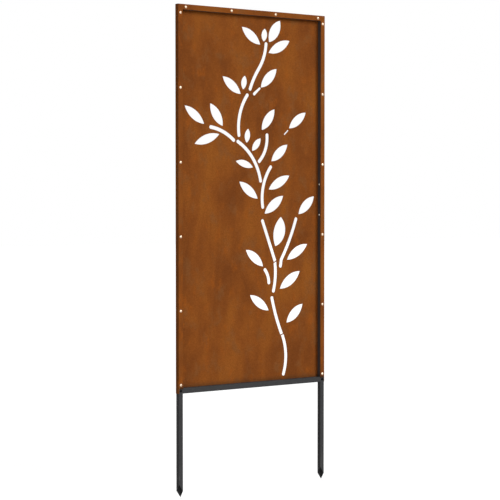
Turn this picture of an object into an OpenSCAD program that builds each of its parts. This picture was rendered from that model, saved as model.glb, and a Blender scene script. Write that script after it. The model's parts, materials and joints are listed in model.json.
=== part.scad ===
// Garden screen on two ground stakes. One folded sheet of rusted steel, with a leafy branch cut
// through it, hangs on a black frame of square tube whose uprights run on down as the stakes.
// +Z is up, the front looks along -Y, and the stake points are at z = 0 on either side of x = 0.

/* [Panel] */
// Width of the panel over its side walls
panel_w = 750; // [720:5:1000]
// Height of the panel, from its bottom edge to its top edge
panel_h = 1575; // [1565:5:1800]
// Thickness of the sheet
sheet_t = 1.2; // [1:0.1:2]
// Width of the lips that fold in over the frame's front
lip_w = 22; // [18:0.5:28]
// Inside radius of the folds
fold_r = 1; // [0.5:0.1:1.5]
// Slit between two lips where they meet in a corner
mitre_gap = 0.6; // [0.3:0.1:1.2]
// Distance at which a slit or a notch stops short of a fold
slit_land = 0.5; // [0.3:0.1:2]
// Gap between a side lip's foot and the bolt's head under it
lip_bolt_gap = 1; // [0.5:0.5:4]

/* [Branch] */
// Height of the branch, from the foot of its stem to its highest leaf tip
branch_h = 1500; // [1200:10:1500]
// Height of the stem's foot above the panel's bottom edge
branch_foot = 40; // [35:1:50]
// Width of the stem slots
stem_w = 15; // [10:1:18]
// Width of the two uncut bridges across the stem
bridge_w = 4; // [3:0.5:8]

/* [Frame] */
// Outside size of the square tube
tube_s = 20; // [18:1:25]
// Wall of the square tube
tube_t = 1.2; // [1:0.1:2]
// Outside corner radius of the square tube
tube_r = 1; // [1:0.1:3]
// Gap between the frame and the sheet folded round it
panel_fit = 0.2; // [0.1:0.05:0.3]
// Length of leg below the panel
leg_h = 425; // [250:5:600]
// Height of the crossbar's tube
crossbar_h = 22; // [20:0.5:30]
// Height of the slanting cut that points a stake
stake_cut_h = 58; // [30:1:80]

/* [Inserts] */
// Gap between an insert and the tube round it
insert_fit = 0.2; // [0.1:0.05:0.3]
// Corner radius of the inserts
insert_r = 1.5; // [1.2:0.1:2]
// Length of the sleeve inside a spliced upright
sleeve_len = 200; // [180:10:300]
// Wall of the sleeve
sleeve_t = 1.5; // [1:0.1:2.5]
// Length of a corner connector's prongs
prong_len = 40; // [25:1:60]
// Length of the plug inside the crossbar's end
plug_len = 30; // [20:1:50]
// Thickness of the plug's tongue
tongue_t = 6; // [5:0.5:8]
// Height of the plug's tongue
tongue_h = 14; // [10:0.5:15]
// Reach of the tongue past the middle of the leg
tongue_past = 5; // [4:0.5:7]
// Gap round the tongue in the leg's slot
tongue_gap = 0.2; // [0.1:0.05:0.4]

/* [Panel screws] */
// Screws down each side of the panel
side_screws = 6; // [4:2:8]
// First and last side screw, from the panel's edges
side_screw_in = 35; // [30:1:45]
// Screws along the top of the panel
top_screws = 4; // [3:1:6]
// First and last top screw, from the panel's sides
top_screw_in = 37.5; // [34:0.5:50]
// Shank of a panel screw
panel_screw_d = 4.8; // [3.9:0.1:5.5]
// Length of a panel screw under its head
panel_screw_len = 13; // [9:0.5:16]
// Head of a panel screw, across
panel_head_d = 11; // [9:0.5:12]
// Head of a panel screw, in height
panel_head_h = 2.6; // [2:0.1:3.2]

/* [Splice screws] */
// Distance of a splice screw from the joint between two tubes
splice_screw_out = 65; // [40:1:80]
// Shank of a splice screw
splice_screw_d = 3.9; // [3:0.1:4.8]
// Length of a splice screw under its head
splice_screw_len = 7; // [5:0.5:8]
// Head of a splice screw, across
splice_head_d = 7; // [6:0.5:9]
// Head of a splice screw, in height
splice_head_h = 2; // [1.5:0.1:2.8]

/* [Crossbar bolts] */
// Shank of a crossbar bolt
bolt_d = 6; // [4:0.5:6]
// Length of a crossbar bolt under its head
bolt_len = 14; // [13:0.5:16]
// Head of a crossbar bolt, across
bolt_head_d = 12; // [10:0.5:14]
// Head of a crossbar bolt, in height
bolt_head_h = 3.3; // [2.5:0.1:4]
// Key size of the bolt's socket
socket_key = 4; // [3:0.5:5]
// Depth of the bolt's socket
socket_depth = 2; // [1:0.1:2.4]

/* [Clearances] */
// Extra radius of a hole that a screw only passes
pass_gap = 0.3; // [0.2:0.05:0.6]
// Extra radius of a hole that a screw bites in
bite_gap = 0.05; // [0.03:0.01:0.1]

/* [Hidden] */

// Facets of small rounds, of the heads' domes and of the branch's long arcs
round_fn = 48;
dome_fn = 64;
arc_fn = 360;
// How far a cutter reaches past the surface that it opens
over = 1;
// How much wider a slot's round end is than its sides, on either side, so that they cross cleanly
end_over = 0.15;

rust = "sienna";
black = "#3a3a3c";
bright = "whitesmoke";
zinc = "silver";

left = -1;
right = 1;

// The panel's outside, folded round the tube
panel_d = tube_s + 2 * (panel_fit + sheet_t);
front_y = -panel_d / 2;
fold_out_r = fold_r + sheet_t;
panel_top = leg_h + panel_h;

// The frame inside it
upright_x = panel_w / 2 - sheet_t - panel_fit - tube_s / 2;
inner_face_x = upright_x - tube_s / 2;
top_bar_z = panel_top - sheet_t - panel_fit - tube_s / 2;
crossbar_z = leg_h + crossbar_h / 2;
splice_z = leg_h + panel_h / 2;
tube_in = tube_s - 2 * tube_t;
tube_in_r = max(tube_r - tube_t, 0.2);
insert_s = tube_in - 2 * insert_fit;
plug_h = crossbar_h - 2 * tube_t - 2 * insert_fit;

// Where the screws go
side_pitch = (panel_h - 2 * side_screw_in) / (side_screws - 1);
top_pitch = (panel_w - 2 * top_screw_in) / (top_screws - 1);
side_screw_zs = [for (i = [0 : side_screws - 1]) leg_h + side_screw_in + i * side_pitch];
top_screw_xs = [for (i = [0 : top_screws - 1]) -panel_w / 2 + top_screw_in + i * top_pitch];
splice_screw_zs = [splice_z - splice_screw_out, splice_z + splice_screw_out];

// The branch as it was drawn: x from the panel's middle and z from the foot of the stem
drawn_h = 1500;
// Leaves: tip, base, width and how far the middle leans to the left, seen from base to tip
LEAVES = [
    [[-46, 1464], [48, 1396], 40, 0],
    [[72, 1464], [66, 1410], 29, 0],
    [[151, 1502], [94, 1409], 48, 0],
    [[201, 1420], [91, 1364], 41, -1],
    [[-143, 1255], [-52, 1186], 39, 0],
    [[-31, 1263], [-40, 1205], 28, 0],
    [[133, 1298], [51, 1217], 42, 0],
    [[-330, 1129], [-235, 1057], 37, 0],
    [[-205, 1142], [-143, 1051], 41, 0],
    [[-282, 975], [-160, 1017], 37, 0],
    [[-14, 1043], [-22, 984], 28, 0],
    [[50, 1004], [6, 951], 29, 0],
    [[122, 1128], [56, 1039], 41, 0],
    [[288, 1119], [199, 1050], 39, 0],
    [[190, 980], [106, 909], 40, 0],
    [[-77, 907], [11, 882], 29, -2],
    [[201, 849], [92, 790], 40, 0],
    [[-59, 822], [35, 751], 39, 0],
    [[168, 763], [71, 688], 42, 0],
    [[333, 761], [250, 685], 41, 0],
    [[156, 674], [127, 550], 60, -7],
    [[297, 556], [189, 491], 40, 2],
    [[-26, 537], [63, 466], 38, -2],
    [[257, 441], [151, 369], 43, 0],
    [[-5, 347], [92, 279], 38, 0],
    [[272, 300], [186, 223], 41, 0]];
// Stem slots: start, end and how far the slot bows out to the left on the way
STEMS = [
    [[78, 1400], [39, 1293], 8],
    [[38, 1291], [-4, 1209], -3],
    [[-19, 1182], [-61, 1015], -17],
    [[-202, 1045], [-88, 994], 9],
    [[-66, 988], [50, 826], 22],
    [[83, 1018], [43, 908], 13],
    [[102, 884], [61, 716], -18],
    [[60, 657], [125, 488], 0],
    [[125, 480], [117, 361], 6],
    [[236, 664], [159, 494], 5],
    [[158, 492], [154, 466], 0],
    [[73, 451], [93, 397], 5],
    [[109, 331], [160, 177], -4],
    [[165, 169], [170, 5], 15]];
// Stalks that taper towards their leaf: start, end, width at the start and width at the end
STALKS = [
    [[17, 1189], [45, 1213], 13, 9],
    [[175, 1024], [192, 1040], 5, 5]];
// Bridges left uncut across the stem: middle and slope
BRIDGES = [
    [[125, 484], 30],
    [[162, 174], 20]];

screen_panel();
left_upper_upright();
right_upper_upright();
left_stake_leg();
right_stake_leg();
left_splice_sleeve();
right_splice_sleeve();
top_bar();
left_corner_connector();
right_corner_connector();
crossbar();
left_crossbar_plug();
right_crossbar_plug();
left_panel_screws();
right_panel_screws();
top_panel_screws();
left_splice_screws();
right_splice_screws();
crossbar_bolts();

// ---- The panel ----

module screen_panel() {
    color(rust)
        difference() {
            folded_box(panel_w, panel_d, panel_top, fold_out_r, leg_h);
            folded_box(panel_w - 2 * sheet_t, panel_d - 2 * sheet_t, panel_top - sheet_t,
                       fold_r, leg_h - over);
            front_window();
            for (side = [left, right]) {
                corner_slit(side);
                foot_notch(side);
            }
            panel_screw_holes(pass_gap);
            branch_cutter();
        }
}

// A box with round upright edges and round top edges, from z = bottom up to z = top
module folded_box(w, d, top, r, bottom) {
    intersection() {
        translate([0, 0, bottom])
            linear_extrude(top - bottom)
                rounded_rect(w, d, r);
        translate([0, 0, (top + bottom) / 2 - r])
            rotate([90, 0, 90])
                linear_extrude(w + 2 * over, center = true)
                    rounded_rect(d, top - bottom + 2 * r, r);
    }
}

// Opens the front between the lips, right down through the panel's foot
module front_window() {
    window_h = panel_h - lip_w;
    translate([-(panel_w / 2 - lip_w), front_y - over, leg_h - over])
        cube([panel_w - 2 * lip_w, sheet_t + 2 * over, window_h + over]);
}

// The 45 degree slit where a side lip and wall meet the top lip and wall
module corner_slit(side) {
    slope = side == left ? 45 : 135;
    translate([side * panel_w / 2, 0, panel_top])
        rotate([0, slope, 0])
            translate([-over, front_y - over, -mitre_gap / 2])
                cube([lip_w * sqrt(2) + 2 * over, panel_d - fold_out_r - slit_land + over, mitre_gap]);
}

// Cuts a side lip's foot off above the crossbar's bolt
module foot_notch(side) {
    notch_w = lip_w - fold_out_r - slit_land + over;
    notch_d = sheet_t + panel_fit / 2 + over;
    lip_foot_z = crossbar_z + bolt_head_d / 2 + lip_bolt_gap;
    notch_x = panel_w / 2 - lip_w - over + notch_w / 2;
    translate([side * notch_x, front_y - over + notch_d / 2, leg_h - over])
        linear_extrude(lip_foot_z - leg_h + over)
            square([notch_w, notch_d], center = true);
}

// ---- The branch ----

// The whole cut-out, as a solid that passes through the web
module branch_cutter() {
    k = branch_h / drawn_h;
    translate([0, panel_d / 2 + over, leg_h + branch_foot])
        rotate([90, 0, 0])
            linear_extrude(sheet_t + over + panel_fit / 2) {
                for (leaf = LEAVES)
                    leaf_outline(leaf[0] * k, leaf[1] * k, leaf[2] * k, leaf[3] * k);
                for (stalk = STALKS)
                    tapered_slot(stalk[0] * k, stalk[1] * k, stalk[2] * k, stalk[3] * k);
                difference() {
                    for (stem = STEMS)
                        arc_slot(stem[0] * k, stem[1] * k, stem[2] * k, stem_w);
                    for (bridge = BRIDGES)
                        translate(bridge[0] * k)
                            rotate(bridge[1])
                                square([2 * stem_w, bridge_w], center = true);
                }
            }
}

// A leaf from tip to base: what two circles share, each rising by its own half of the width
module leaf_outline(tip, base, w, lean) {
    along = tip - base;
    rise = [w / 2 + lean, w / 2 - lean];
    r = [for (h = rise) (pow(norm(along) / 2, 2) + pow(h, 2)) / (2 * h)];
    translate((tip + base) / 2)
        rotate(atan2(along[1], along[0]))
            intersection() {
                translate([0, rise[0] - r[0]])
                    circle(r[0], $fn = arc_fn);
                translate([0, r[1] - rise[1]])
                    circle(r[1], $fn = arc_fn);
            }
}

// A straight slot from a to b, wa wide at a and wb wide at b, with round ends
module tapered_slot(a, b, wa, wb) {
    along = b - a;
    across = [-along[1], along[0]] / norm(along) / 2;
    translate(a)
        circle(wa / 2 + end_over, $fn = round_fn);
    translate(b)
        circle(wb / 2 + end_over, $fn = round_fn);
    polygon([a + across * wa, b + across * wb, b - across * wb, a - across * wa]);
}

// A slot of width w from a to b with round ends, bowed to the left by bow
module arc_slot(a, b, bow, w) {
    along = b - a;
    chord = norm(along);
    for (end = [a, b])
        translate(end)
            circle(w / 2 + end_over, $fn = round_fn);
    translate((a + b) / 2)
        rotate(atan2(along[1], along[0]))
            if (bow == 0) square([chord, w], center = true);
            else mirror([0, bow < 0 ? 1 : 0]) arc_band(chord, abs(bow), w);
}

// A band of width w along the arc over a chord, which rises by bow in the middle
module arc_band(chord, bow, w) {
    r = (pow(chord / 2, 2) + pow(bow, 2)) / (2 * bow);
    half = asin(chord / 2 / r);
    reach = (r + w) / cos(half);
    translate([0, bow - r])
        intersection() {
            difference() {
                circle(r + w / 2, $fn = arc_fn);
                circle(r - w / 2, $fn = arc_fn);
            }
            polygon([[0, 0], [reach * sin(half), reach * cos(half)],
                     [-reach * sin(half), reach * cos(half)]]);
        }
}

// ---- The frame ----

module left_upper_upright() upper_upright(left);
module right_upper_upright() upper_upright(right);
module left_stake_leg() stake_leg(left);
module right_stake_leg() stake_leg(right);

// Upper half of an upright, from the splice to the corner connector
module upper_upright(side) {
    color(black)
        difference() {
            translate([side * upright_x, 0, splice_z])
                square_tube(top_bar_z - tube_s / 2 - splice_z);
            panel_screw_holes(bite_gap);
            splice_screw_holes(side, pass_gap);
        }
}

// Lower half of an upright: the leg and its stake
module stake_leg(side) {
    color(black)
        difference() {
            translate([side * upright_x, 0, 0])
                square_tube(splice_z);
            stake_cutter(side);
            panel_screw_holes(bite_gap);
            splice_screw_holes(side, pass_gap);
            crossbar_bolt_hole(side, pass_gap);
            tongue_slot(side);
        }
}

// One slanting cut, corner to corner: both stakes point at their back right corner
module stake_cutter(side) {
    tip_out = (tube_s / 2 - tube_r) * sqrt(2) + tube_r;
    slope = atan2(stake_cut_h, tube_s * sqrt(2));
    size = 3 * stake_cut_h;
    translate([side * upright_x, 0, 0])
        rotate(45)
            translate([tip_out, 0, 0])
                rotate([0, slope, 0])
                    translate([-size, -size / 2, -size])
                        cube([size + over, size, size]);
}

module top_bar() {
    color(black)
        difference() {
            translate([0, 0, top_bar_z])
                rotate([0, 90, 0])
                    square_tube(2 * inner_face_x, center = true);
            panel_screw_holes(bite_gap);
        }
}

// The crossbar's tube stands taller than it is deep
module crossbar() {
    color(black)
        translate([0, 0, crossbar_z])
            rotate([0, 90, 0])
                linear_extrude(2 * inner_face_x, center = true)
                    difference() {
                        rounded_rect(crossbar_h, tube_s, tube_r);
                        rounded_rect(crossbar_h - 2 * tube_t, tube_in, tube_in_r);
                    }
}

module square_tube(length, center = false) {
    linear_extrude(length, center = center)
        difference() {
            rounded_rect(tube_s, tube_s, tube_r);
            rounded_rect(tube_in, tube_in, tube_in_r);
        }
}

// ---- What joins the tubes ----

module left_splice_sleeve() splice_sleeve(left);
module right_splice_sleeve() splice_sleeve(right);
module left_corner_connector() corner_connector(left);
module right_corner_connector() corner_connector(right);
module left_crossbar_plug() crossbar_plug(left);
module right_crossbar_plug() crossbar_plug(right);

// Smaller tube inside an upright, across the joint of its halves
module splice_sleeve(side) {
    color(zinc)
        difference() {
            translate([side * upright_x, 0, splice_z])
                linear_extrude(sleeve_len, center = true)
                    difference() {
                        rounded_rect(insert_s, insert_s, insert_r);
                        square(insert_s - 2 * sleeve_t, center = true);
                    }
            panel_screw_holes(bite_gap);
            splice_screw_holes(side, bite_gap);
        }
}

// Block in the frame's top corner, with a prong down the upright and one along the top bar
module corner_connector(side) {
    color(zinc)
        difference() {
            translate([side * upright_x, 0, top_bar_z]) {
                linear_extrude(tube_s, center = true)
                    rounded_rect(tube_s, tube_s, tube_r);
                translate([0, 0, -tube_s / 2 - prong_len])
                    linear_extrude(prong_len + tube_r)
                        rounded_rect(insert_s, insert_s, insert_r);
                rotate([0, -side * 90, 0])
                    translate([0, 0, tube_s / 2 - tube_r])
                        linear_extrude(prong_len + tube_r)
                            rounded_rect(insert_s, insert_s, insert_r);
            }
            panel_screw_holes(bite_gap);
        }
}

// Plug in the crossbar's end, with a tongue through the leg's inner wall that takes the bolt
module crossbar_plug(side) {
    tongue_len = tube_s / 2 + tongue_past;
    color(zinc)
        difference() {
            translate([side * inner_face_x, 0, crossbar_z])
                rotate([0, side * 90, 0]) {
                    translate([0, 0, -plug_len])
                        linear_extrude(plug_len)
                            rounded_rect(plug_h, insert_s, insert_r);
                    translate([-tongue_h / 2, -tongue_t / 2, -over])
                        cube([tongue_h, tongue_t, tongue_len + over]);
                }
            crossbar_bolt_hole(side, bite_gap);
        }
}

// Slot in the leg's inner wall for the tongue
module tongue_slot(side) {
    slot_t = tongue_t + 2 * tongue_gap;
    slot_h = tongue_h + 2 * tongue_gap;
    translate([side * (inner_face_x + tube_t / 2), 0, crossbar_z])
        cube([tube_t + over, slot_t, slot_h], center = true);
}

// ---- Screws ----

module left_panel_screws() side_panel_screws(left);
module right_panel_screws() side_panel_screws(right);
module left_splice_screws() splice_screws(left);
module right_splice_screws() splice_screws(right);

module side_panel_screws(side) {
    color(bright)
        for (z = side_screw_zs)
            translate([side * upright_x, front_y, z])
                panel_screw();
}

module top_panel_screws() {
    color(bright)
        for (x = top_screw_xs)
            translate([x, front_y, top_bar_z])
                panel_screw();
}

module panel_screw() {
    rotate([-90, 0, 0])
        tapping_screw(panel_screw_d, panel_screw_len, panel_head_d, panel_head_h);
}

module splice_screws(side) {
    color(zinc)
        for (z = splice_screw_zs)
            translate([side * inner_face_x, 0, z])
                rotate([0, side * 90, 0])
                    tapping_screw(splice_screw_d, splice_screw_len, splice_head_d, splice_head_h);
}

// Screw with a domed, cross-recessed head below z = 0 and its point up
module tapping_screw(d, length, head_d, head_h) {
    point = d * 0.8;
    recess_l = head_d * 0.46;
    recess_w = head_d * 0.11;
    recess_h = head_h * 0.5;
    difference() {
        union() {
            cylinder(h = length - point, d = d, $fn = round_fn);
            translate([0, 0, length - point])
                cylinder(h = point, d1 = d, d2 = d * 0.3, $fn = round_fn);
            domed_head(head_d, head_h);
        }
        for (turn = [0, 90])
            rotate(turn)
                translate([-recess_l / 2, -recess_w / 2, -head_h - over])
                    cube([recess_l, recess_w, recess_h + over]);
    }
}

module crossbar_bolts() {
    color(black)
        for (side = [left, right])
            translate([side * upright_x, -tube_s / 2, crossbar_z])
                rotate([-90, 0, 0])
                    socket_bolt();
}

// Bolt with a domed head below z = 0, a hexagon socket in it, and its shank up
module socket_bolt() {
    difference() {
        union() {
            cylinder(h = bolt_len, d = bolt_d, $fn = round_fn);
            domed_head(bolt_head_d, bolt_head_h);
        }
        translate([0, 0, -bolt_head_h - over])
            cylinder(h = socket_depth + over, d = socket_key / cos(30), $fn = 6);
    }
}

// A cap of a sphere, flat at z = 0 and head_h high below it
module domed_head(head_d, head_h) {
    dome_r = (pow(head_d / 2, 2) + pow(head_h, 2)) / (2 * head_h);
    intersection() {
        translate([0, 0, dome_r - head_h])
            sphere(dome_r, $fn = dome_fn);
        translate([0, 0, -head_h])
            cylinder(h = head_h, d = head_d, $fn = round_fn);
    }
}

// ---- Holes ----

// Bore along Y through a leg's front wall and the tongue behind it
module crossbar_bolt_hole(side, gap) {
    translate([side * upright_x, -tube_s / 2 - over, crossbar_z])
        rotate([-90, 0, 0])
            cylinder(h = bolt_len + 2 * over, r = bolt_d / 2 + gap, $fn = round_fn);
}

// Bores along Y for every panel screw, as deep as the screws reach
module panel_screw_holes(gap) {
    for (side = [left, right], z = side_screw_zs)
        panel_screw_hole(side * upright_x, z, gap);
    for (x = top_screw_xs)
        panel_screw_hole(x, top_bar_z, gap);
}

module panel_screw_hole(x, z, gap) {
    translate([x, front_y - over, z])
        rotate([-90, 0, 0])
            cylinder(h = panel_screw_len + 2 * over, r = panel_screw_d / 2 + gap, $fn = round_fn);
}

// Bores along X through an upright's inner wall and the sleeve behind it
module splice_screw_holes(side, gap) {
    for (z = splice_screw_zs)
        translate([side * (inner_face_x - over), 0, z])
            rotate([0, side * 90, 0])
                cylinder(h = splice_screw_len + 2 * over, r = splice_screw_d / 2 + gap, $fn = round_fn);
}

// ---- Outlines ----

module rounded_rect(w, h, r) {
    square([w - 2 * r, h], center = true);
    square([w, h - 2 * r], center = true);
    for (x = [-1, 1], y = [-1, 1])
        translate([x * (w / 2 - r), y * (h / 2 - r)])
            circle(r, $fn = round_fn);
}
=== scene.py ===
# %% [markdown]
# # A garden screen in rusted steel
#
# The object is a tall sheet of rusted steel with a leafy branch cut through it. The sheet is
# folded round a black frame of square tube, and the frame's two legs end in ground stakes. The
# solids come from the CAD model, at their real size in metres, and stay where they are. This
# notebook gives them their finishes, builds the screws in the detail that a close look asks for,
# and sets up a small photo studio.
#
# We keep the box of the bare CAD model; its bottom sets the height of the floor.

# %% Load the CAD model
import json
import math

import bpy
import bmesh
from mathutils import Matrix, Vector


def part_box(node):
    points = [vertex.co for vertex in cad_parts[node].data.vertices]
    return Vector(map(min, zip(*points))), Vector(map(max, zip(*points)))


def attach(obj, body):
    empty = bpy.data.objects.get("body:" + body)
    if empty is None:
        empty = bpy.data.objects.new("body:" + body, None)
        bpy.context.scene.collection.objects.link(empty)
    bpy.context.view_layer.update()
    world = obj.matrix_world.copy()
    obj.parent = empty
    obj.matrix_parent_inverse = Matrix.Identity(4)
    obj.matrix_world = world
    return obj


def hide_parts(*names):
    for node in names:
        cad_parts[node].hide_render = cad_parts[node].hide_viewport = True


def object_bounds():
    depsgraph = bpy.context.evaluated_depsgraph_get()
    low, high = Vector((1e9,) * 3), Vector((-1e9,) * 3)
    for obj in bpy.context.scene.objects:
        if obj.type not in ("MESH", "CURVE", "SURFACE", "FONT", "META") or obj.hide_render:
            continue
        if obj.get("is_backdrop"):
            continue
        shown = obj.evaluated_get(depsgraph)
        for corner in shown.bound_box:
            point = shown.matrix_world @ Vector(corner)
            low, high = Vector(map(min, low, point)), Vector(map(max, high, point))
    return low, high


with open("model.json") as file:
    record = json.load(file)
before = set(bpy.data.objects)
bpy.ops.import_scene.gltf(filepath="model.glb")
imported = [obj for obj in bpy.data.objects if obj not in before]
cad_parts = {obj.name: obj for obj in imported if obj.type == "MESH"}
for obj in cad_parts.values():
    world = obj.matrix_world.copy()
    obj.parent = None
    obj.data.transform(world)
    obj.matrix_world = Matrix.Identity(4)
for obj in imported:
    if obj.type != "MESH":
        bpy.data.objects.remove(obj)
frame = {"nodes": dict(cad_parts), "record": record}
cad_low, cad_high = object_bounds()
nodes = frame["nodes"]
print("solids:", ", ".join(sorted(nodes)))

# %% [markdown]
# ## The camera
#
# The photograph was taken from the left of the screen with a long lens, from about the height of
# a person's chest. A long lens and a far camera keep the two sides nearly parallel. One could aim
# a camera with a Track To constraint at the middle of the object. Here the turn and the dip are
# written down as angles, because they were measured against the screw heads and the stake points.

# %% Camera
CAMERA_PLACE = (-3.805, -5.321, 1.215)
CAMERA_TURN = math.radians(35.48)  # to the right of +Y
CAMERA_DIP = math.radians(1.87)    # below the horizon
CAMERA_LENS = 112.66               # mm
SENSOR_WIDTH = 36                  # mm
FARTHEST_SEEN = 100                # m, well past the edge of the floor

camera = bpy.data.objects.new("camera", bpy.data.cameras.new("camera"))
camera.data.sensor_width = SENSOR_WIDTH
camera.data.lens = CAMERA_LENS
camera.data.clip_end = FARTHEST_SEEN
camera.location = CAMERA_PLACE
camera.rotation_euler = (math.pi / 2 - CAMERA_DIP, 0, -CAMERA_TURN)
bpy.context.scene.collection.objects.link(camera)
bpy.context.scene.camera = camera
bpy.context.scene.view_settings.view_transform = "Standard"
print("camera at", CAMERA_PLACE)

# %% [markdown]
# ## The studio
#
# A catalogue picture like this one has a background of pure white. It could come from a huge lamp
# behind the object, but that would wash out its edges. Instead the world shows white only to the
# camera, in reflections and through glass, and lights the object with a plain grey. The Light
# Path node tells these rays apart.

# %% World
WHITE = (1, 1, 1, 1)
WORLD_LIGHT = 0.15  # strength of the grey, where 1 is white


def seen_directly(tree):
    """1 for rays that show a thing as it is: from the camera, in a mirror or through glass."""
    path = tree.nodes.new("ShaderNodeLightPath")
    found = path.outputs["Is Camera Ray"]
    for kind in ("Is Glossy Ray", "Is Transmission Ray"):
        larger = tree.nodes.new("ShaderNodeMath")
        larger.operation = "MAXIMUM"
        tree.links.new(found, larger.inputs[0])
        tree.links.new(path.outputs[kind], larger.inputs[1])
        found = larger.outputs[0]
    return found


world = bpy.data.worlds.new("studio")
bpy.context.scene.world = world
world.use_nodes = True
tree = world.node_tree
tree.nodes.clear()
backdrop = tree.nodes.new("ShaderNodeBackground")
backdrop.inputs["Color"].default_value = WHITE
grey = tree.nodes.new("ShaderNodeBackground")
grey.inputs["Color"].default_value = WHITE
grey.inputs["Strength"].default_value = WORLD_LIGHT
mixed = tree.nodes.new("ShaderNodeMixShader")
tree.links.new(seen_directly(tree), mixed.inputs[0])
tree.links.new(grey.outputs[0], mixed.inputs[1])
tree.links.new(backdrop.outputs[0], mixed.inputs[2])
tree.links.new(mixed.outputs[0], tree.nodes.new("ShaderNodeOutputWorld").inputs[0])
print("the world gives the object a light of", WORLD_LIGHT)

# %% [markdown]
# Three wide suns do the rest: a key from above on the front right, a fill from low on the front
# left that softens the key's shadows, and one from behind that lights the floor and the back. An
# area lamp would fade with distance. A sun gives the same light everywhere, so the floor is even
# up to the horizon.

# %% Suns
SUNS = {  # name: the direction that it shines from, its strength, and its width in degrees
    "key": ((0.38, -0.80, 0.45), 2.25, 34),
    "fill": ((-0.55, -0.83, 0.10), 0.80, 45),
    "back": ((0.30, 0.80, 0.52), 2.4, 50),
}

for name, (towards, strength, width) in SUNS.items():
    sun = bpy.data.objects.new(name, bpy.data.lights.new(name, "SUN"))
    sun.data.energy = strength
    sun.data.angle = math.radians(width)
    sun.rotation_euler = Vector(towards).to_track_quat("Z", "Y").to_euler()
    bpy.context.scene.collection.objects.link(sun)
print("suns:", ", ".join(SUNS))

# %% [markdown]
# ## The floor
#
# The stake points rest on a plain pale floor, which the photograph shows as white without a
# horizon. A floor painted pure white would bounce too much light back up. This one is a grey
# paint, and to the camera it glows a little, just enough to reach white where no shadow falls.

# %% Floor
FLOOR_SIZE = 60                      # m
FLOOR_PAINT = (0.45, 0.45, 0.45, 1)
FLOOR_ROUGHNESS = 0.95
FLOOR_LIFT = 0.70                    # the glow that the camera sees

bpy.ops.mesh.primitive_plane_add(size=FLOOR_SIZE, location=(0, 0, cad_low.z))
floor = bpy.context.object
floor.name = "floor"
paint = bpy.data.materials.new("floor_paint")
paint.use_nodes = True
tree = paint.node_tree
surface = tree.nodes["Principled BSDF"]
surface.inputs["Base Color"].default_value = FLOOR_PAINT
surface.inputs["Roughness"].default_value = FLOOR_ROUGHNESS
surface.inputs["Specular IOR Level"].default_value = 0.0
glow = tree.nodes.new("ShaderNodeEmission")
lift = tree.nodes.new("ShaderNodeMath")
lift.operation = "MULTIPLY"
lift.inputs[1].default_value = FLOOR_LIFT
tree.links.new(seen_directly(tree), lift.inputs[0])
tree.links.new(lift.outputs[0], glow.inputs["Strength"])
both = tree.nodes.new("ShaderNodeAddShader")
tree.links.new(surface.outputs[0], both.inputs[0])
tree.links.new(glow.outputs[0], both.inputs[1])
tree.links.new(both.outputs[0], tree.nodes["Material Output"].inputs[0])
floor.data.materials.append(paint)
floor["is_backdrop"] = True
print("floor", FLOOR_SIZE, "m across")

# %% [markdown]
# ## A small kit for finishes
#
# Every finish here is made of the same few steps: read the place on the object, make a pattern
# there, turn the pattern into colours, and mix. Short helpers keep each finish readable. They all
# work on Object coordinates, which are metres here, so a noise scale of 100 gives spots about 1
# cm across. The first holds the material and the places on it.

# %% Kit: the material and its places
class PlacedFinish:
    """A material that is built step by step. Each step returns an output socket."""

    def __init__(self, name):
        self.material = bpy.data.materials.new(name)
        self.material.use_nodes = True
        self.tree = self.material.node_tree
        self.shader = self.tree.nodes["Principled BSDF"]
        self.place = self.tree.nodes.new("ShaderNodeTexCoord").outputs["Object"]

    def link(self, source, socket):
        """Connects a socket to an input, or writes a plain value there."""
        if isinstance(source, bpy.types.NodeSocket):
            self.tree.links.new(source, socket)
        else:
            socket.default_value = source

    def set(self, **inputs):
        """Sets or links the shader's own inputs, such as base_color or roughness."""
        for name, source in inputs.items():
            label = name.replace("_", " ").title().replace("Ior", "IOR")
            self.link(source, self.shader.inputs[label])

    def upright(self, share, moved=(0, 0, 0)):
        """The place with its height scaled by share, which draws a pattern out upright. A place
        that is moved gives another stretch of the same noise."""
        node = self.tree.nodes.new("ShaderNodeMapping")
        self.link(self.place, node.inputs["Vector"])
        node.inputs["Scale"].default_value = (1, 1, share)
        node.inputs["Location"].default_value = moved
        return node.outputs[0]

    def along(self, axis):
        """The place along one axis, X, Y or Z, in metres."""
        node = self.tree.nodes.new("ShaderNodeSeparateXYZ")
        self.link(self.place, node.inputs[0])
        return node.outputs[axis]

    def distance(self, *middle):
        """How far the place is from a middle, in metres. Both sides of the screen are alike."""
        folded = self.tree.nodes.new("ShaderNodeVectorMath")
        folded.operation = "ABSOLUTE"
        self.link(self.place, folded.inputs[0])
        node = self.tree.nodes.new("ShaderNodeVectorMath")
        node.operation = "DISTANCE"
        self.link(folded.outputs[0], node.inputs[0])
        node.inputs[1].default_value = [abs(value) for value in middle]
        return node.outputs["Value"]


print("a finish reads its place in metres")

# %% [markdown]
# The second cell adds the patterns. Noise makes soft spots and Voronoi cells make crystals. A
# pattern is a number at every place, so it can be reckoned with. Noise lies mostly between 0.3
# and 0.7, round 0.5, and spread picks the part of it that counts: from 0.50 up, it covers half of
# the surface, and from 0.54 up, less.

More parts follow.
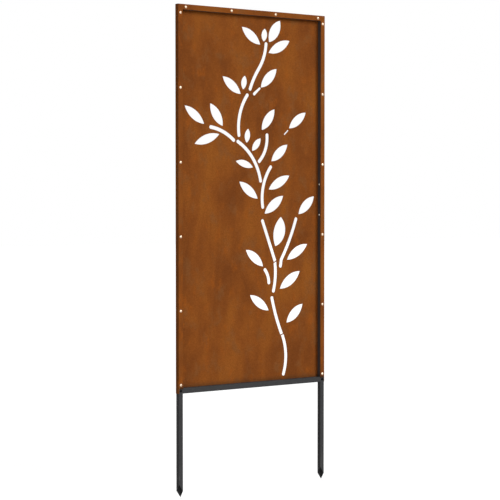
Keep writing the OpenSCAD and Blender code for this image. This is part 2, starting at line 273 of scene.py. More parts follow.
# %% Kit: patterns
class PatternedFinish(PlacedFinish):
    """A placed finish with patterns."""

    def noise(self, scale, detail=4.0, rough=0.5, at=None, bend=0.0):
        """Soft spots about 1 / scale m across, with finer ones on them."""
        node = self.tree.nodes.new("ShaderNodeTexNoise")
        self.link(self.place if at is None else at, node.inputs["Vector"])
        node.inputs["Scale"].default_value = scale
        node.inputs["Detail"].default_value = detail
        node.inputs["Roughness"].default_value = rough
        node.inputs["Distortion"].default_value = bend
        return node.outputs["Fac"]

    def crystals(self, scale):
        """Cells about 1 / scale m across, each with its own chance numbers X, Y and Z."""
        node = self.tree.nodes.new("ShaderNodeTexVoronoi")
        self.link(self.place, node.inputs["Vector"])
        node.inputs["Scale"].default_value = scale
        numbers = self.tree.nodes.new("ShaderNodeSeparateXYZ")
        self.link(node.outputs["Color"], numbers.inputs[0])
        return numbers.outputs

    def spread(self, value, low, high, to_low=0.0, to_high=1.0):
        """Maps low..high of a value to another range, clamped and eased."""
        node = self.tree.nodes.new("ShaderNodeMapRange")
        node.interpolation_type = "SMOOTHSTEP"
        self.link(value, node.inputs["Value"])
        node.inputs["From Min"].default_value = low
        node.inputs["From Max"].default_value = high
        node.inputs["To Min"].default_value = to_low
        node.inputs["To Max"].default_value = to_high
        return node.outputs[0]

    def math(self, operation, a, b=0.0):
        """Reckons with two values, as the Math node does."""
        node = self.tree.nodes.new("ShaderNodeMath")
        node.operation = operation
        self.link(a, node.inputs[0])
        self.link(b, node.inputs[1])
        return node.outputs[0]


print("patterns: noise and crystals")

# %% [markdown]
# The third cell turns patterns into colour and relief. It also finds the edges. A Bevel node
# bends the normal near an edge, and where the bent one leaves the real one, paint and rust would
# be worn.

# %% Kit: colours, relief and edges
BEVEL_SAMPLES = 4
FLAT = 0.99   # how far the two normals agree on a flat face
EDGED = 0.80  # and on an edge


class Finish(PatternedFinish):
    """A patterned finish with colours, relief and edges."""

    def colours(self, value, stops):
        """Turns a value into a colour. stops are (position, (r, g, b))."""
        node = self.tree.nodes.new("ShaderNodeValToRGB")
        self.link(value, node.inputs["Fac"])
        points = node.color_ramp.elements
        while len(points) < len(stops):
            points.new(0.5)
        for point, (position, colour) in zip(points, stops):
            point.position = position
            point.color = (*colour, 1)
        return node.outputs["Color"]

    def mix(self, share, a, b, how="MIX"):
        """Mixes colour b over colour a."""
        node = self.tree.nodes.new("ShaderNodeMix")
        node.data_type = "RGBA"
        node.blend_type = how
        node.clamp_factor = True
        self.link(share, node.inputs["Factor"])
        first, second = node.inputs[6], node.inputs[7]  # the pair A and B that is for colours
        for socket, source in ((first, a), (second, b)):
            self.link((*source, 1) if isinstance(source, tuple) else source, socket)
        return node.outputs[2]

    def bump(self, height, depth, under=None):
        """Raises the surface by height times depth, in metres, over an earlier bump."""
        node = self.tree.nodes.new("ShaderNodeBump")
        node.inputs["Distance"].default_value = depth
        self.link(height, node.inputs["Height"])
        if under is not None:
            self.link(under, node.inputs["Normal"])
        return node.outputs[0]

    def edges(self, width):
        """1 on edges and corners, 0 on flats: where a bevelled normal leaves the real one."""
        bevel = self.tree.nodes.new("ShaderNodeBevel")
        bevel.samples = BEVEL_SAMPLES
        bevel.inputs["Radius"].default_value = width
        real = self.tree.nodes.new("ShaderNodeNewGeometry").outputs["Normal"]
        node = self.tree.nodes.new("ShaderNodeVectorMath")
        node.operation = "DOT_PRODUCT"
        self.link(bevel.outputs[0], node.inputs[0])
        self.link(real, node.inputs[1])
        return self.spread(node.outputs["Value"], FLAT, EDGED)


print("the kit for finishes is ready")

# %% [markdown]
# ## Rust
#
# The sheet is weathering steel: it grows a thin, tight coat of rust that stays. Seen from a step
# away it is an even brown, a little cloudy, with upright streaks where rain ran down. Close up it
# is a fine, dry grain. One noise can't do all that. We stack several, each with its own size and
# job: broad clouds for the tone, upright streaks for the rain, a grey bloom where the coat is
# older, and small warm flecks.

# %% The colour of rust
RUST_DARK = (0.170, 0.048, 0.0090)
RUST_MEAN = (0.228, 0.065, 0.0105)
RUST_LIGHT = (0.272, 0.084, 0.0125)
RUST_WARM = (0.318, 0.081, 0.0080)
RUST_BLOOM = (0.200, 0.077, 0.0230)

CLOUD_SCALE = 7    # clouds about 14 cm across
RAIN_SCALE = 42    # streaks about 2 cm wide
SHOWER_SCALE = 4   # in patches of about 25 cm
BLOOM_SCALE = 17   # bloom in spots of about 6 cm
FLECK_SCALE = 24   # flecks of about 4 cm

STREAK_SHARE = 0.35
BLOOM_SHARE = 0.55
FLECK_SHARE = 0.50


def weathered(rust):
    """The colour of the rust as the weather left it."""
    clouds = rust.noise(CLOUD_SCALE, detail=5, rough=0.55, at=rust.upright(0.45), bend=0.4)
    colour = rust.colours(clouds, [(0.34, RUST_DARK), (0.50, RUST_MEAN), (0.66, RUST_LIGHT)])

    rain = rust.noise(RAIN_SCALE, detail=3, rough=0.6, at=rust.upright(0.06))
    shower = rust.noise(SHOWER_SCALE, detail=2, at=rust.upright(0.5, moved=(3, 0, 1)))
    streaks = rust.math("MULTIPLY", rust.spread(rain, 0.50, 0.68), rust.spread(shower, 0.42, 0.62))
    colour = rust.mix(rust.math("MULTIPLY", streaks, STREAK_SHARE), colour, RUST_DARK)

    bloom = rust.noise(BLOOM_SCALE, detail=6, rough=0.62, at=rust.upright(0.7, moved=(7, 2, 5)))
    colour = rust.mix(rust.spread(bloom, 0.50, 0.68, 0.0, BLOOM_SHARE), colour, RUST_BLOOM)

    flecks = rust.noise(FLECK_SCALE, detail=5, rough=0.6, at=rust.upright(0.6, moved=(1, 9, 2)))
    return rust.mix(rust.spread(flecks, 0.54, 0.72, 0.0, FLECK_SHARE), colour, RUST_WARM)


print("rust has five colours and five patterns")

# %% [markdown]
# Along the foot, where the sheet meets the crossbar, the rust is painted darker and duller, as
# painted shade, and round the crossbar's two bolts the painted shade is nearly black. Both are
# found from places: the height over the sheet's foot, and the distance from a bolt. The outer
# walls stay free of them, as in the photograph.

# %% Painted shade at the foot and round the bolts
RUST_FOOT_SHADE = (0.052, 0.029, 0.0140)
RUST_BOLT_SHADE = (0.030, 0.016, 0.0080)
FOOT_SHADE_REACH = 0.048  # m that the painted shade reaches up the sheet
BOLT_SHADE_REACH = 0.020  # m that the painted shade reaches round a bolt
BOLT_SHADE_DARKEST = 0.007  # m round a bolt where the painted shade is at its darkest
WALL_SKIN = 0.001   # m into the outer walls, which stay free of the painted shade
WALL_CLEAR = 0.008  # m in from the walls' faces, where the painted shade has its full strength


def painted_shade(rust, colour):
    """The colour with painted shade over it, at the sheet's foot and round the bolts."""
    sheet_low, sheet_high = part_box("screen_panel")
    bolts_low, bolts_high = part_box("crossbar_bolts")

    sideways = rust.math("ABSOLUTE", rust.along("X"))
    inside = rust.spread(sideways, sheet_high.x - WALL_SKIN, sheet_high.x - WALL_CLEAR)

    above_foot = rust.math("SUBTRACT", rust.along("Z"), sheet_low.z)
    # painted shade: the sheet darkens towards its foot, where it meets the crossbar
    foot_shade = rust.math("MULTIPLY", rust.spread(above_foot, FOOT_SHADE_REACH, 0.0), inside)
    colour = rust.mix(foot_shade, colour, RUST_FOOT_SHADE)

    bolt_z = (bolts_low.z + bolts_high.z) / 2
    bolt_x = bolts_high.x - (bolts_high.z - bolts_low.z) / 2  # half a head inside the box
    from_bolt = rust.distance(bolt_x, sheet_low.y, bolt_z)
    # painted shade: nearly black round each bolt, where the lip meets the leg
    black = rust.math("MULTIPLY", rust.spread(from_bolt, BOLT_SHADE_REACH, BOLT_SHADE_DARKEST), inside)
    return rust.mix(black, colour, RUST_BOLT_SHADE)


# the reaches printed here are those of the painted shade
print("stains reach", FOOT_SHADE_REACH * 1000, "mm up and", BOLT_SHADE_REACH * 1000, "mm round a bolt")

# %% [markdown]
# Two fine patterns finish the sheet: a mottle that shades the colour, and a grain that only shows
# as relief. The smoother spots of the mottle shine a little more. Cut edges are darker, because
# the cut is younger than the sheet's skin and holds the damp.

# %% Rusted sheet
MOTTLE_SCALE = 260     # spots about 4 mm across
MOTTLE_SHARE = 0.55
MOTTLE_DARK = (0.62, 0.62, 0.62)
MOTTLE_LIGHT = (1.38, 1.38, 1.38)
MOTTLE_DEPTH = 0.0003  # m
GRAIN_SCALE = 900      # grain of about 1 mm
GRAIN_DEPTH = 0.0002   # m

RUST_EDGE = (0.140, 0.048, 0.0150)
EDGE_WIDTH = 0.0012    # m
EDGE_SHARE = 0.6
RUST_ROUGHEST, RUST_SMOOTHEST = 0.92, 0.74
RUST_GLOSS = 0.06


def rusted_sheet():
    rust = Finish("rusted_sheet")
    mottle = rust.noise(MOTTLE_SCALE, detail=5, rough=0.65)
    shade = rust.colours(mottle, [(0.30, MOTTLE_DARK), (0.70, MOTTLE_LIGHT)])
    # the foot and the bolts get painted shade here
    colour = painted_shade(rust, rust.mix(MOTTLE_SHARE, weathered(rust), shade, "MULTIPLY"))
    edge = rust.math("MULTIPLY", rust.edges(EDGE_WIDTH), EDGE_SHARE)

    grain = rust.noise(GRAIN_SCALE, detail=3, rough=0.7)
    relief = rust.bump(grain, GRAIN_DEPTH, under=rust.bump(mottle, MOTTLE_DEPTH))
    rust.set(base_color=rust.mix(edge, colour, RUST_EDGE), normal=relief)
    rust.set(roughness=rust.spread(mottle, 0.3, 0.7, RUST_ROUGHEST, RUST_SMOOTHEST))
    rust.set(specular_IOR_level=RUST_GLOSS)
    return rust.material


rust = rusted_sheet()
print("rust has", len(rust.node_tree.nodes), "nodes")

# %% [markdown]
# ## Black powder coat
#
# The tubes are powder coated: a satin black film with the faint dimples of an orange's skin. It
# wears thin on the corners first, and the stakes get scuffed where they go into the ground. Wear
# is one value from 0 to 1, the larger of the two.

# %% Where the coat is worn
PATCH_SCALE = 55          # patches about 2 cm across, where a corner is worn or not
SCRATCH_SCALE = 160       # scratches about 6 mm apart
SCRATCH_DRAWN = 0.08      # drawn out along the tube
CORNER_WEAR = 0.15, 0.9   # least and most
SCUFF_WEAR = 0.7
SCUFFED_BELOW = 0.16      # m above the stake points


def wear(coat):
    """How worn the coat is, 0..1."""
    patches = coat.spread(coat.noise(PATCH_SCALE, detail=6, rough=0.7), 0.48, 0.60, *CORNER_WEAR)
    corners = coat.math("MULTIPLY", coat.edges(EDGE_WIDTH), patches)

    near_soil = coat.spread(coat.along("Z"), SCUFFED_BELOW, 0.0)
    drawn = coat.upright(SCRATCH_DRAWN)
    scratches = coat.noise(SCRATCH_SCALE, detail=3, rough=0.6, at=drawn)
    scuffs = coat.math("MULTIPLY", near_soil, coat.spread(scratches, 0.56, 0.66, 0.0, SCUFF_WEAR))
    return coat.math("MAXIMUM", corners, scuffs)


print("the coat is scuffed up to", SCUFFED_BELOW * 100, "cm above the stake points")

# %% [markdown]
# Inside the sheet's tray, above the crossbar, the tubes are painted lighter and browner: painted
# bounce light from the rusted sheet. The dimples are a fine noise that is both relief and a faint
# shade.

# %% Black powder coat
COAT_BLACK = (0.0415, 0.0413, 0.0432)
COAT_PALE = (0.0530, 0.0526, 0.0546)
# painted bounce light from the rusted sheet, on the tubes inside the tray
COAT_RUST_BOUNCE = (0.086, 0.068, 0.064)
COAT_WORN = (0.110, 0.108, 0.104)
PALE_SHARE = 0.6
RUST_BOUNCE_FADE = 0.012            # m above the crossbar over which the painted bounce light sets in
COAT_CLOUD_SCALE = 35        # clouds about 3 cm across
DIMPLE_SCALE = 620           # dimples about 2 mm across
DIMPLE_SHARE = 0.20
DIMPLE_DEPTH = 0.0004        # m
COAT_ROUGHNESS = 0.44, 0.58  # least and most
WORN_ROUGHNESS = 0.7
COAT_GLOSS = 0.05


def black_tube():
    coat = Finish("black_powder_coat")
    cloud = coat.noise(COAT_CLOUD_SCALE, detail=4, rough=0.6)
    colour = coat.mix(coat.spread(cloud, 0.35, 0.7, 0.0, PALE_SHARE), COAT_BLACK, COAT_PALE)

    # painted bounce light: the tubes inside the tray are painted lighter and brown, as if lit by
    # the rust beside them
    in_tray = coat.math("SUBTRACT", coat.along("Z"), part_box("crossbar")[1].z)
    colour = coat.mix(coat.spread(in_tray, 0.0, RUST_BOUNCE_FADE), colour, COAT_RUST_BOUNCE)

    worn = wear(coat)
    colour = coat.mix(worn, colour, COAT_WORN)

    dimples = coat.noise(DIMPLE_SCALE, detail=2, rough=0.5)
    colour = coat.mix(coat.spread(dimples, 0.42, 0.70, 0.0, DIMPLE_SHARE), colour, COAT_WORN)
    coat.set(base_color=colour, normal=coat.bump(dimples, DIMPLE_DEPTH))

    whole = coat.spread(cloud, 0.3, 0.7, *COAT_ROUGHNESS)
    bare = coat.spread(worn, 0.0, 1.0, 0.0, WORN_ROUGHNESS)
    coat.set(roughness=coat.math("MAXIMUM", whole, bare), specular_IOR_level=COAT_GLOSS)
    return coat.material


black = black_tube()
print("powder coat has", len(black.node_tree.nodes), "nodes")

# %% [markdown]
# ## Zinc plate
#
# Zinc plate shows flat crystals, each with its own shade, which Voronoi cells draw well. The
# sleeves, blocks and plugs inside the tubes have dull plate with large crystals, and the small
# splice screws bright plate with fine ones, slightly warm.

# %% Zinc plate
ZINC_DULL = (0.42, 0.43, 0.45)
ZINC_FAIR = (0.66, 0.67, 0.69)
ZINC_CLEAN = (0.83, 0.79, 0.72)
ZINC_BRIGHT = (0.98, 0.94, 0.87)
ZINC_DIRT = (0.30, 0.30, 0.30)
ZINC_ROUGHNESS = 0.32, 0.50  # least and most
DIRT_SCALE = 70              # dirt in spots about 14 mm across
DIRT_DEPTH = 0.0002          # m
LARGE_CRYSTALS = 180         # about 6 mm across
FINE_CRYSTALS = 900          # about 1 mm across


def zinc_plate(name, scale, low, high, dirty):
    """Zinc with crystals about 1 / scale m across, shaded from low to high. dirty is 0..1."""
    zinc = Finish(name)
    chance = zinc.crystals(scale)
    dirt = zinc.noise(DIRT_SCALE, detail=5, rough=0.6)
    colour = zinc.mix(zinc.spread(chance["X"], 0.0, 1.0), low, high)
    colour = zinc.mix(zinc.spread(dirt, 0.5, 0.75, 0.0, dirty), colour, ZINC_DIRT)
    zinc.set(base_color=colour, metallic=1.0, normal=zinc.bump(dirt, DIRT_DEPTH))
    zinc.set(roughness=zinc.spread(chance["Y"], 0.0, 1.0, *ZINC_ROUGHNESS))
    return zinc.material


zinc_insert = zinc_plate("zinc_insert", LARGE_CRYSTALS, ZINC_DULL, ZINC_FAIR, dirty=0.45)
zinc_screw = zinc_plate("zinc_screw", FINE_CRYSTALS, ZINC_CLEAN, ZINC_BRIGHT, dirty=0.10)
print("zinc:", zinc_insert.name, "and", zinc_screw.name)

# %% [markdown]
# ## Bright steel
#
# The panel's screws are plain steel with a turned, lightly brushed face and a trace of tarnish,
# which makes them a little warm. The brushing is a noise drawn out one way, and the rims are the
# brightest.

# %% Bright steel
BRIGHT_LOW = (0.57, 0.44, 0.32)
BRIGHT_HIGH = (0.75, 0.61, 0.46)
BRIGHT_EDGE = (0.80, 0.72, 0.62)
BRIGHT_ROUGHNESS = 0.30, 0.44  # least and most
BRIGHT_EDGE_WIDTH = 0.0003     # m
BRIGHT_EDGE_SHARE = 0.5
BRUSH_SCALE = 900              # brush marks about 1 mm apart
BRUSH_DRAWN = 0.12
BRUSH_DEPTH = 0.00003          # m
TARNISH_SCALE = 260            # spots about 4 mm across


def bright_steel():
    steel = Finish("bright_steel")
    brushed = steel.noise(BRUSH_SCALE, detail=2, at=steel.upright(BRUSH_DRAWN))
    tarnish = steel.noise(TARNISH_SCALE, detail=4, rough=0.6)
    colour = steel.mix(steel.spread(tarnish, 0.3, 0.7), BRIGHT_HIGH, BRIGHT_LOW)
    edge = steel.math("MULTIPLY", steel.edges(BRIGHT_EDGE_WIDTH), BRIGHT_EDGE_SHARE)
    steel.set(base_color=steel.mix(edge, colour, BRIGHT_EDGE), metallic=1.0)
    steel.set(roughness=steel.spread(brushed, 0.3, 0.7, *BRIGHT_ROUGHNESS))
    steel.set(normal=steel.bump(brushed, BRUSH_DEPTH))
    return steel.material


bright = bright_steel()
print("bright steel has", len(bright.node_tree.nodes), "nodes")

# %% [markdown]
# ## Black oxide
#
# The crossbar's bolts are oxide black: a thin dark skin on the bare steel, cloudy brown in places
# and rubbed grey on its edges. It isn't a paint, so it has hardly any relief.

# %% Black oxide
OXIDE_BLACK = (0.0035, 0.0033, 0.0035)
OXIDE_BROWN = (0.008, 0.007, 0.006)
OXIDE_WORN = (0.06, 0.06, 0.06)
OXIDE_ROUGHNESS = 0.45, 0.60  # least and most
OXIDE_EDGE_WIDTH = 0.0002     # m
OXIDE_EDGE_SHARE = 0.3
OXIDE_SCALE = 420             # clouds about 2 mm across
OXIDE_DEPTH = 0.00005         # m
OXIDE_GLOSS = 0.04


def black_oxide():
    skin = Finish("black_oxide")
    cloud = skin.noise(OXIDE_SCALE, detail=4, rough=0.6)
    colour = skin.mix(skin.spread(cloud, 0.4, 0.7), OXIDE_BLACK, OXIDE_BROWN)
    edge = skin.math("MULTIPLY", skin.edges(OXIDE_EDGE_WIDTH), OXIDE_EDGE_SHARE)
    skin.set(base_color=skin.mix(edge, colour, OXIDE_WORN), normal=skin.bump(cloud, OXIDE_DEPTH))
    skin.set(roughness=skin.spread(cloud, 0.3, 0.7, *OXIDE_ROUGHNESS))
    skin.set(specular_IOR_level=OXIDE_GLOSS)
    return skin.material


oxide = black_oxide()
print("black oxide has", len(oxide.node_tree.nodes), "nodes")

# %% [markdown]
# ## Each solid gets its finish
#
# The record names a material slot for every solid. A table from slot to finish is therefore all
# that is needed, and a solid's mesh stays as it is: only the material in its slot is changed.

# %% Give each solid its finish
FINISH_OF_SLOT = {"rusted_sheet": rust, "black_tube": black, "zinc_insert": zinc_insert,
                  "bright_screw": bright, "zinc_screw": zinc_screw, "black_bolt": oxide}

for part in frame["record"]["subparts"]:
    solid = nodes[part["node"]]
    while len(solid.material_slots) < 1:
        solid.data.materials.append(None)
    for slot in solid.material_slots:
        slot.material = FINISH_OF_SLOT[part["material_slot"]]
print("finished", len(nodes), "solids")

# %% [markdown]
# ## Screws and bolts
#
# The CAD screws have a domed head with a plain recess, on a smooth shank. Real ones also have a
# rim under the dome, a recess that narrows as it goes in, and a thread. Nearly all of that is
# turned work, so a profile is spun round Z: rings of points, each with its own radius and height,
# joined into one skin. The thread is no extra part either. Its rings swell where the helix
# passes, and the swelling moves on a little from one point to the next.

# %% A skin of rings
SIDES = 40
FULL_TURN = 2 * math.pi


def object_of(name, skin):
    """Turns a bmesh into an object of the scene, with all its faces outwards."""
    bmesh.ops.recalc_face_normals(skin, faces=skin.faces)
    mesh = bpy.data.meshes.new(name)
    skin.to_mesh(mesh)
    skin.free()
    made = bpy.data.objects.new(name, mesh)
    bpy.context.scene.collection.objects.link(made)
    return made


def skin_of_rings(name, rings):
    """A closed mesh round Z. A ring is a height, and a radius or a function of the turn 0..1."""
    skin = bmesh.new()
    loops = []
    for height, radius in rings:
        loop = []
        for side in range(SIDES):
            turn = side / SIDES
            angle = FULL_TURN * turn
            r = radius(turn) if callable(radius) else radius
            loop.append(skin.verts.new((r * math.cos(angle), r * math.sin(angle), height)))
        loops.append(loop)
    for upper, lower in zip(loops, loops[1:]):
        for side in range(SIDES):
            after = (side + 1) % SIDES
            skin.faces.new((upper[side], lower[side], lower[after], upper[after]))
    skin.faces.new(loops[0])
    skin.faces.new(reversed(loops[-1]))
    return object_of(name, skin)


print("rings of", SIDES, "points")

# %% [markdown]
# The head sits on z = 0 and looks up, and the shank hangs below it. The dome is a part of a
# sphere over a narrow upright rim, as a press leaves it. A tapping screw has a coarse thread and
# a point, and a machine bolt a fine thread and a blunt end.

# %% Heads and shanks
DOME_RINGS = 9
RIM_BEVEL = 0.3     # the rim's bevelled foot, as a share of its height
RINGS_A_TURN = 8
CREST_WIDTH = 0.32  # half of the crest's foot, as a share of the pitch
THINNEST = 0.12     # the end of a point, as a share of the shank's width


def head_rings(across, high, rim):
    """The dome from its top down to the rim, and the rim down to the seat."""
    half = across / 2
    rise = high - rim
    bulge = (half ** 2 + rise ** 2) / (2 * rise)
    widest = math.asin(half / bulge)
    rings = []
    for step in range(1, DOME_RINGS + 1):
        lean = widest * step / DOME_RINGS
        rings.append((high - bulge * (1 - math.cos(lean)), bulge * math.sin(lean)))
    return rings + [(rim * RIM_BEVEL, half), (0.0, half - rim * RIM_BEVEL)]


def thread_rings(across, length, pitch, root, point):
    """The shank from the seat down: a helix of that pitch, over a core of root times its width."""
    rings = []
    count = round(length / pitch * RINGS_A_TURN)
    for step in range(count + 1):
        depth = length * step / count
        taper = min(1.0, max(THINNEST, (length - depth) / point)) if point else 1.0

        def radius(turn, depth=depth, taper=taper):
            phase = (depth / pitch + turn) % 1.0
            crest = max(0.0, 1.0 - abs(phase - 0.5) / CREST_WIDTH)
            return across / 2 * taper * (root + (1.0 - root) * crest)

        rings.append((-depth, radius))
    return rings


print("a dome has", DOME_RINGS, "rings and a turn of thread", RINGS_A_TURN)

# %% [markdown]
# The recess is cut with a Boolean modifier, as a press would punch it. The cutter is a short
# tapered bar with the outline of the driver's tip: a cross for the screws and a hexagon for the
# bolts.

# %% Recesses
CUTTER_TOP = 0.001  # m above the head
ARM_END = 0.8       # an arm of the cross narrows to this share of its width


def cross_outline(reach, arm):
    """The twelve corners of a plus sign, one arm after the other. arm is half an arm's width."""
    corners = []
    for quarter in range(4):
        turn = Matrix.Rotation(quarter * math.pi / 2, 2)
        for place in ((arm, arm), (reach, arm * ARM_END), (reach, -arm * ARM_END)):
            corners.append(turn @ Vector(place))
    return sorted(corners, key=lambda c: math.atan2(c.y, c.x))


def hexagon_outline(key):
    """The six corners of a hexagon that a key of that width fits."""
    corner = key / 2 / math.cos(math.pi / 6)
    angles = [a * math.pi / 3 for a in range(6)]
    return [Vector((corner * math.cos(a), corner * math.sin(a))) for a in angles]


def punch(fastener, outline, top, depth, taper):
    """Cuts a recess into the head, as deep as depth and narrowed by taper at its bottom."""
    bar = bmesh.new()
    upper = [bar.verts.new((c.x, c.y, top + CUTTER_TOP)) for c in outline]
    lower = [bar.verts.new((c.x * taper, c.y * taper, top - depth)) for c in outline]
    for i in range(len(outline)):
        j = (i + 1) % len(outline)
        bar.faces.new((upper[i], lower[i], lower[j], upper[j]))
    bar.faces.new(upper)
    bar.faces.new(reversed(lower))
    cutter = object_of("punch", bar)
    cut = fastener.modifiers.new("recess", "BOOLEAN")
    cut.operation = "DIFFERENCE"
    cut.solver = "EXACT"
    cut.object = cutter
    settled = fastener.evaluated_get(bpy.context.evaluated_depsgraph_get())
    punched = bpy.data.meshes.new_from_object(settled)
    fastener.modifiers.clear()
    fastener.data = punched
    bpy.data.objects.remove(cutter)


print("recesses are cut from", CUTTER_TOP * 1000, "mm above the head")

# %% [markdown]
# Each kind of fastener is made once. The widths and heights of the heads come from the boxes of
# the solids, so they follow the CAD. What a box can't tell, such as the pitch and the width of
# the recess, is that of a common screw.

# %% One of each fastener
MM = 0.001
PANEL_THREAD = {"across": 4.8 * MM, "pitch": 1.6 * MM, "root": 0.76, "point": 3.6 * MM}
SPLICE_THREAD = {"across": 3.9 * MM, "pitch": 1.4 * MM, "root": 0.76, "point": 3.0 * MM}
BOLT_THREAD = {"across": 6 * MM, "pitch": 1.0 * MM, "root": 0.84, "point": 0.0}
PANEL_RECESS = {"outline": cross_outline(2.5 * MM, 0.55 * MM), "depth": 1.5 * MM, "taper": 0.7}
SPLICE_RECESS = {"outline": cross_outline(1.7 * MM, 0.45 * MM), "depth": 1.1 * MM, "taper": 0.7}
BOLT_RECESS = {"outline": hexagon_outline(4 * MM), "depth": 2.0 * MM, "taper": 1.0}
PANEL_RIM, SPLICE_RIM, BOLT_RIM = 0.35 * MM, 0.3 * MM, 0.5 * MM


def make_fastener(name, head, high, length, rim, thread, recess):
    """One fastener: its head's width and height, its shank's length, and its details."""
    rings = head_rings(head, high, rim) + thread_rings(length=length, **thread)
    made = skin_of_rings(name, rings)
    punch(made, top=high, **recess)
    size = [round(v / MM, 2) for v in made.dimensions]
    print(name, size, "mm,", len(made.data.polygons), "faces")
    return made


panel_low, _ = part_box("screen_panel")
screws_low, screws_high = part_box("top_panel_screws")
splice_low, splice_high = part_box("right_splice_screws")
bolts_low, bolts_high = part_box("crossbar_bolts")
leg_low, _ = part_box("right_stake_leg")

screw_head = screws_high.z - screws_low.z
panel_screw = make_fastener("panel_screw", screw_head, panel_low.y - screws_low.y,
                            screws_high.y - panel_low.y, PANEL_RIM, PANEL_THREAD, PANEL_RECESS)

splice_head = splice_high.y - splice_low.y
splice_screw = make_fastener("splice_screw", splice_head, leg_low.x - splice_low.x,
                             splice_high.x - leg_low.x, SPLICE_RIM, SPLICE_THREAD, SPLICE_RECESS)

bolt_head = bolts_high.z - bolts_low.z
crossbar_bolt = make_fastener("crossbar_bolt", bolt_head, leg_low.y - bolts_low.y,
                              bolts_high.y - leg_low.y, BOLT_RIM, BOLT_THREAD, BOLT_RECESS)

# %% [markdown]
# Sixteen screws hold the sheet, four the splices, and two bolts the crossbar. They stand in
# straight rows, so one small node tree serves them all: a line of points, the screw on each
# point, and a turn by chance about its own axis, because nobody drives two screws to the same
# angle.

# %% The row of fasteners
ROW_INPUTS = {"Fastener": "Object", "Count": "Int", "Start": "Vector", "Step": "Vector",
              "Facing": "Vector", "Finish": "Material", "Seed": "Int"}


def row_tree():
    tree = bpy.data.node_groups.new("fastener_row", "GeometryNodeTree")
    for name, kind in ROW_INPUTS.items():
        tree.interface.new_socket(name, in_out="INPUT", socket_type="NodeSocket" + kind)
    tree.interface.new_socket("Geometry", in_out="OUTPUT", socket_type="NodeSocketGeometry")
    given = tree.nodes.new("NodeGroupInput").outputs
    link = tree.links.new

    line = tree.nodes.new("GeometryNodeMeshLine")
    link(given["Count"], line.inputs["Count"])
    link(given["Start"], line.inputs["Start Location"])
    link(given["Step"], line.inputs["Offset"])

    fastener = tree.nodes.new("GeometryNodeObjectInfo")
    link(given["Fastener"], fastener.inputs["Object"])
    placed = tree.nodes.new("GeometryNodeInstanceOnPoints")
    link(line.outputs["Mesh"], placed.inputs["Points"])
    link(fastener.outputs["Geometry"], placed.inputs["Instance"])
    link(given["Facing"], placed.inputs["Rotation"])

    chance = tree.nodes.new("FunctionNodeRandomValue")
    chance.data_type = "FLOAT"
    least, most = chance.inputs[2], chance.inputs[3]  # the pair Min and Max that is for floats
    least.default_value = 0.0
    most.default_value = FULL_TURN
    link(given["Seed"], chance.inputs["Seed"])
    about_axis = tree.nodes.new("ShaderNodeCombineXYZ")
    link(chance.outputs[1], about_axis.inputs["Z"])
    driven = tree.nodes.new("GeometryNodeRotateInstances")
    driven.inputs["Local Space"].default_value = True
    link(placed.outputs["Instances"], driven.inputs["Instances"])
    link(about_axis.outputs[0], driven.inputs["Rotation"])

    real = tree.nodes.new("GeometryNodeRealizeInstances")
    link(driven.outputs["Instances"], real.inputs["Geometry"])
    finish = tree.nodes.new("GeometryNodeSetMaterial")
    link(real.outputs["Geometry"], finish.inputs["Geometry"])
    link(given["Finish"], finish.inputs["Material"])
    link(finish.outputs["Geometry"], tree.nodes.new("NodeGroupOutput").inputs["Geometry"])
    return tree


fastener_row = row_tree()
print("row tree with inputs", list(ROW_INPUTS))

# %% [markdown]
# A modifier's inputs are set by each socket's identifier. Then the row is turned into a plain
# mesh, so that nothing is left to work out later, and its edges are marked sharp where two faces
# meet steeply. Last, the row rides on the one body that the screen has, and takes the place of
# its CAD node.

# %% Build a row and hand it over
SHARP_OVER = math.radians(35)


def build_row(node, slot, **inputs):
    """Builds the row of fasteners that stands for a CAD node."""
    row = bpy.data.objects.new(node + "_row", bpy.data.meshes.new(node + "_row"))
    bpy.context.scene.collection.objects.link(row)
    modifier = row.modifiers.new("row", "NODES")
    modifier.node_group = fastener_row
    for item in fastener_row.interface.items_tree:
        if item.in_out == "INPUT":
            modifier[item.identifier] = inputs[item.name.lower()]
    settled = row.evaluated_get(bpy.context.evaluated_depsgraph_get())
    mesh = bpy.data.meshes.new_from_object(settled)
    row.modifiers.clear()
    row.data = mesh
    mesh.polygons.foreach_set("use_smooth", [True] * len(mesh.polygons))
    mesh.set_sharp_from_angle(angle=SHARP_OVER)
    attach(row, "root")
    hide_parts(node)
    print(row.name, "has", len(mesh.polygons), "faces")


print("edges over", round(math.degrees(SHARP_OVER)), "degrees are sharp")

# %% [markdown]
# The places follow the solids. A row runs from the first head to the last, so its ends lie half a
# head inside the box of its node. The panel's heads look to the front, along -Y. Each row has its
# own seed, from 1 on, so that no two rows turn alike.

# %% The panel's screws
TO_THE_FRONT = (math.pi / 2, 0, 0)
X, Z = 0, 2
SIDE_SCREWS = 6
TOP_SCREWS = 4


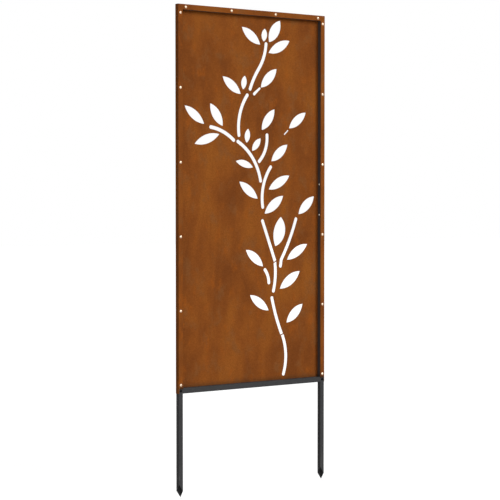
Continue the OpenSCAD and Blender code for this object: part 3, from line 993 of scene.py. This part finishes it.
def ends_of_row(node, head, axis):
    """The first and the last fastener's middle along an axis, from the box of their node."""
    low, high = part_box(node)
    return low[axis] + head / 2, high[axis] - head / 2


for seed, side in ((1, "left"), (2, "right")):
    node = side + "_panel_screws"
    low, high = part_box(node)
    first, last = ends_of_row(node, screw_head, Z)
    build_row(node, "bright_screw", fastener=panel_screw, count=SIDE_SCREWS,
              start=((low.x + high.x) / 2, panel_low.y, first),
              step=(0, 0, (last - first) / (SIDE_SCREWS - 1)),
              facing=TO_THE_FRONT, finish=bright, seed=seed)

first, last = ends_of_row("top_panel_screws", screw_head, X)
build_row("top_panel_screws", "bright_screw", fastener=panel_screw, count=TOP_SCREWS,
          start=(first, panel_low.y, (screws_low.z + screws_high.z) / 2),
          step=((last - first) / (TOP_SCREWS - 1), 0, 0),
          facing=TO_THE_FRONT, finish=bright, seed=3)

# %% [markdown]
# The splices' heads sit on the uprights' inner sides and look inwards, to the middle of the
# screen. The two bolts look to the front, one on each leg. Once all the rows stand, the single
# fasteners that they were copied from are no longer needed.

# %% The splices' screws and the crossbar's bolts
A_PAIR = 2

for seed, side, sign in ((4, "left", -1), (5, "right", 1)):
    node = side + "_splice_screws"
    first, last = ends_of_row(node, splice_head, Z)
    build_row(node, "zinc_screw", fastener=splice_screw, count=A_PAIR,
              start=(sign * leg_low.x, 0, first), step=(0, 0, last - first),
              facing=(0, -sign * math.pi / 2, 0), finish=zinc_screw, seed=seed)

first, last = ends_of_row("crossbar_bolts", bolt_head, X)
build_row("crossbar_bolts", "black_bolt", fastener=crossbar_bolt, count=A_PAIR,
          start=(first, leg_low.y, (bolts_low.z + bolts_high.z) / 2),
          step=(last - first, 0, 0), facing=TO_THE_FRONT, finish=oxide, seed=6)

for kind in (panel_screw, splice_screw, crossbar_bolt):
    bpy.data.objects.remove(kind)

# %% [markdown]
# ## The box of the dressed screen
#
# The box of everything that is seen now is printed.

# %% Print the box
low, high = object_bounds()
print("box", [round(v, 4) for v in high - low])
